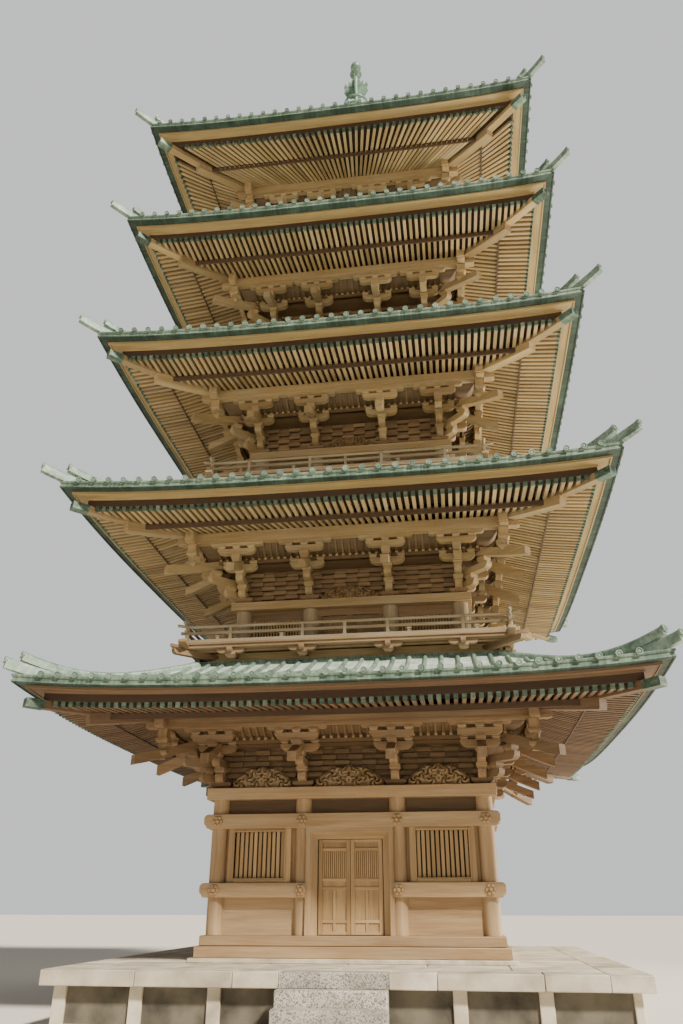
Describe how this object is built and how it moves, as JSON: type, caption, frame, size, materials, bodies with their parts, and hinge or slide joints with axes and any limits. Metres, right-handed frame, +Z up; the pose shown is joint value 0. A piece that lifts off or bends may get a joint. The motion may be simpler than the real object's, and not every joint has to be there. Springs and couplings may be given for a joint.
{
  "type": "five storey pagoda",
  "caption": "Square timber pagoda of five storeys with copper roofs, balconies, a bronze finial and hinged front doors, on a stone podium with steps.",
  "frame": {"origin": "middle of the podium's underside, on the ground, on the tower's axis", "axes": "+Z up the tower's axis; -Y out of the front steps and door; +X to the right of someone facing the front"},
  "size_m": [11.04, 11.04, 28.8453],
  "materials": {
    "podium_stone": "sawn pale stone, matt",
    "step_granite": "dressed speckled granite, matt",
    "lower_timber": "unpainted, sun-tanned zelkova, matt",
    "upper_timber": "unpainted, bleached zelkova, matt",
    "door_timber": "planed, unpainted zelkova, matt",
    "roof_copper": "sheet copper with green patina, matt",
    "finial_bronze": "cast bronze with green patina, satin"
  },
  "bodies": {
    "building": {"podium_base": "podium_stone", "podium_cap": "podium_stone", "front_steps": "step_granite", "ground_sill": "lower_timber", "ground_floor": "lower_timber", "storey1_frame": "lower_timber", "front_wall_left": "lower_timber", "front_wall_right": "lower_timber", "front_door_frame": "lower_timber", "right_wall": "lower_timber", "back_wall": "lower_timber", "left_wall": "lower_timber", "storey1_brackets": "lower_timber", "storey1_eaves": "lower_timber", "storey1_roof": "roof_copper", "storey2_balcony": "upper_timber", "storey2_railing": "upper_timber", "storey2_walls": "upper_timber", "storey2_brackets": "upper_timber", "storey2_eaves": "upper_timber", "storey2_roof": "roof_copper", "storey3_balcony": "upper_timber", "storey3_railing": "upper_timber", "storey3_walls": "upper_timber", "storey3_brackets": "upper_timber", "storey3_eaves": "upper_timber", "storey3_roof": "roof_copper", "storey4_balcony": "upper_timber", "storey4_railing": "upper_timber", "storey4_walls": "upper_timber", "storey4_brackets": "upper_timber", "storey4_eaves": "upper_timber", "storey4_roof": "roof_copper", "storey5_balcony": "upper_timber", "storey5_railing": "upper_timber", "storey5_walls": "upper_timber", "storey5_brackets": "upper_timber", "storey5_eaves": "upper_timber", "storey5_roof": "roof_copper", "finial_base": "finial_bronze", "finial_rings": "finial_bronze", "finial_flame": "finial_bronze", "finial_jewel": "finial_bronze"},
    "leaf_left": {"door_leaf_left": "door_timber"},
    "leaf_right": {"door_leaf_right": "door_timber"}
  },
  "joints": [
    {"name": "door_left", "type": "hinge", "parent": "building", "child": "leaf_left", "pos_m": [-0.56, -2.48, 2.065], "axis": [0, 0, -1], "range_deg": [0, 90]},
    {"name": "door_right", "type": "hinge", "parent": "building", "child": "leaf_right", "pos_m": [0.56, -2.48, 2.065], "axis": [0, 0, 1], "range_deg": [0, 90]}
  ]
}
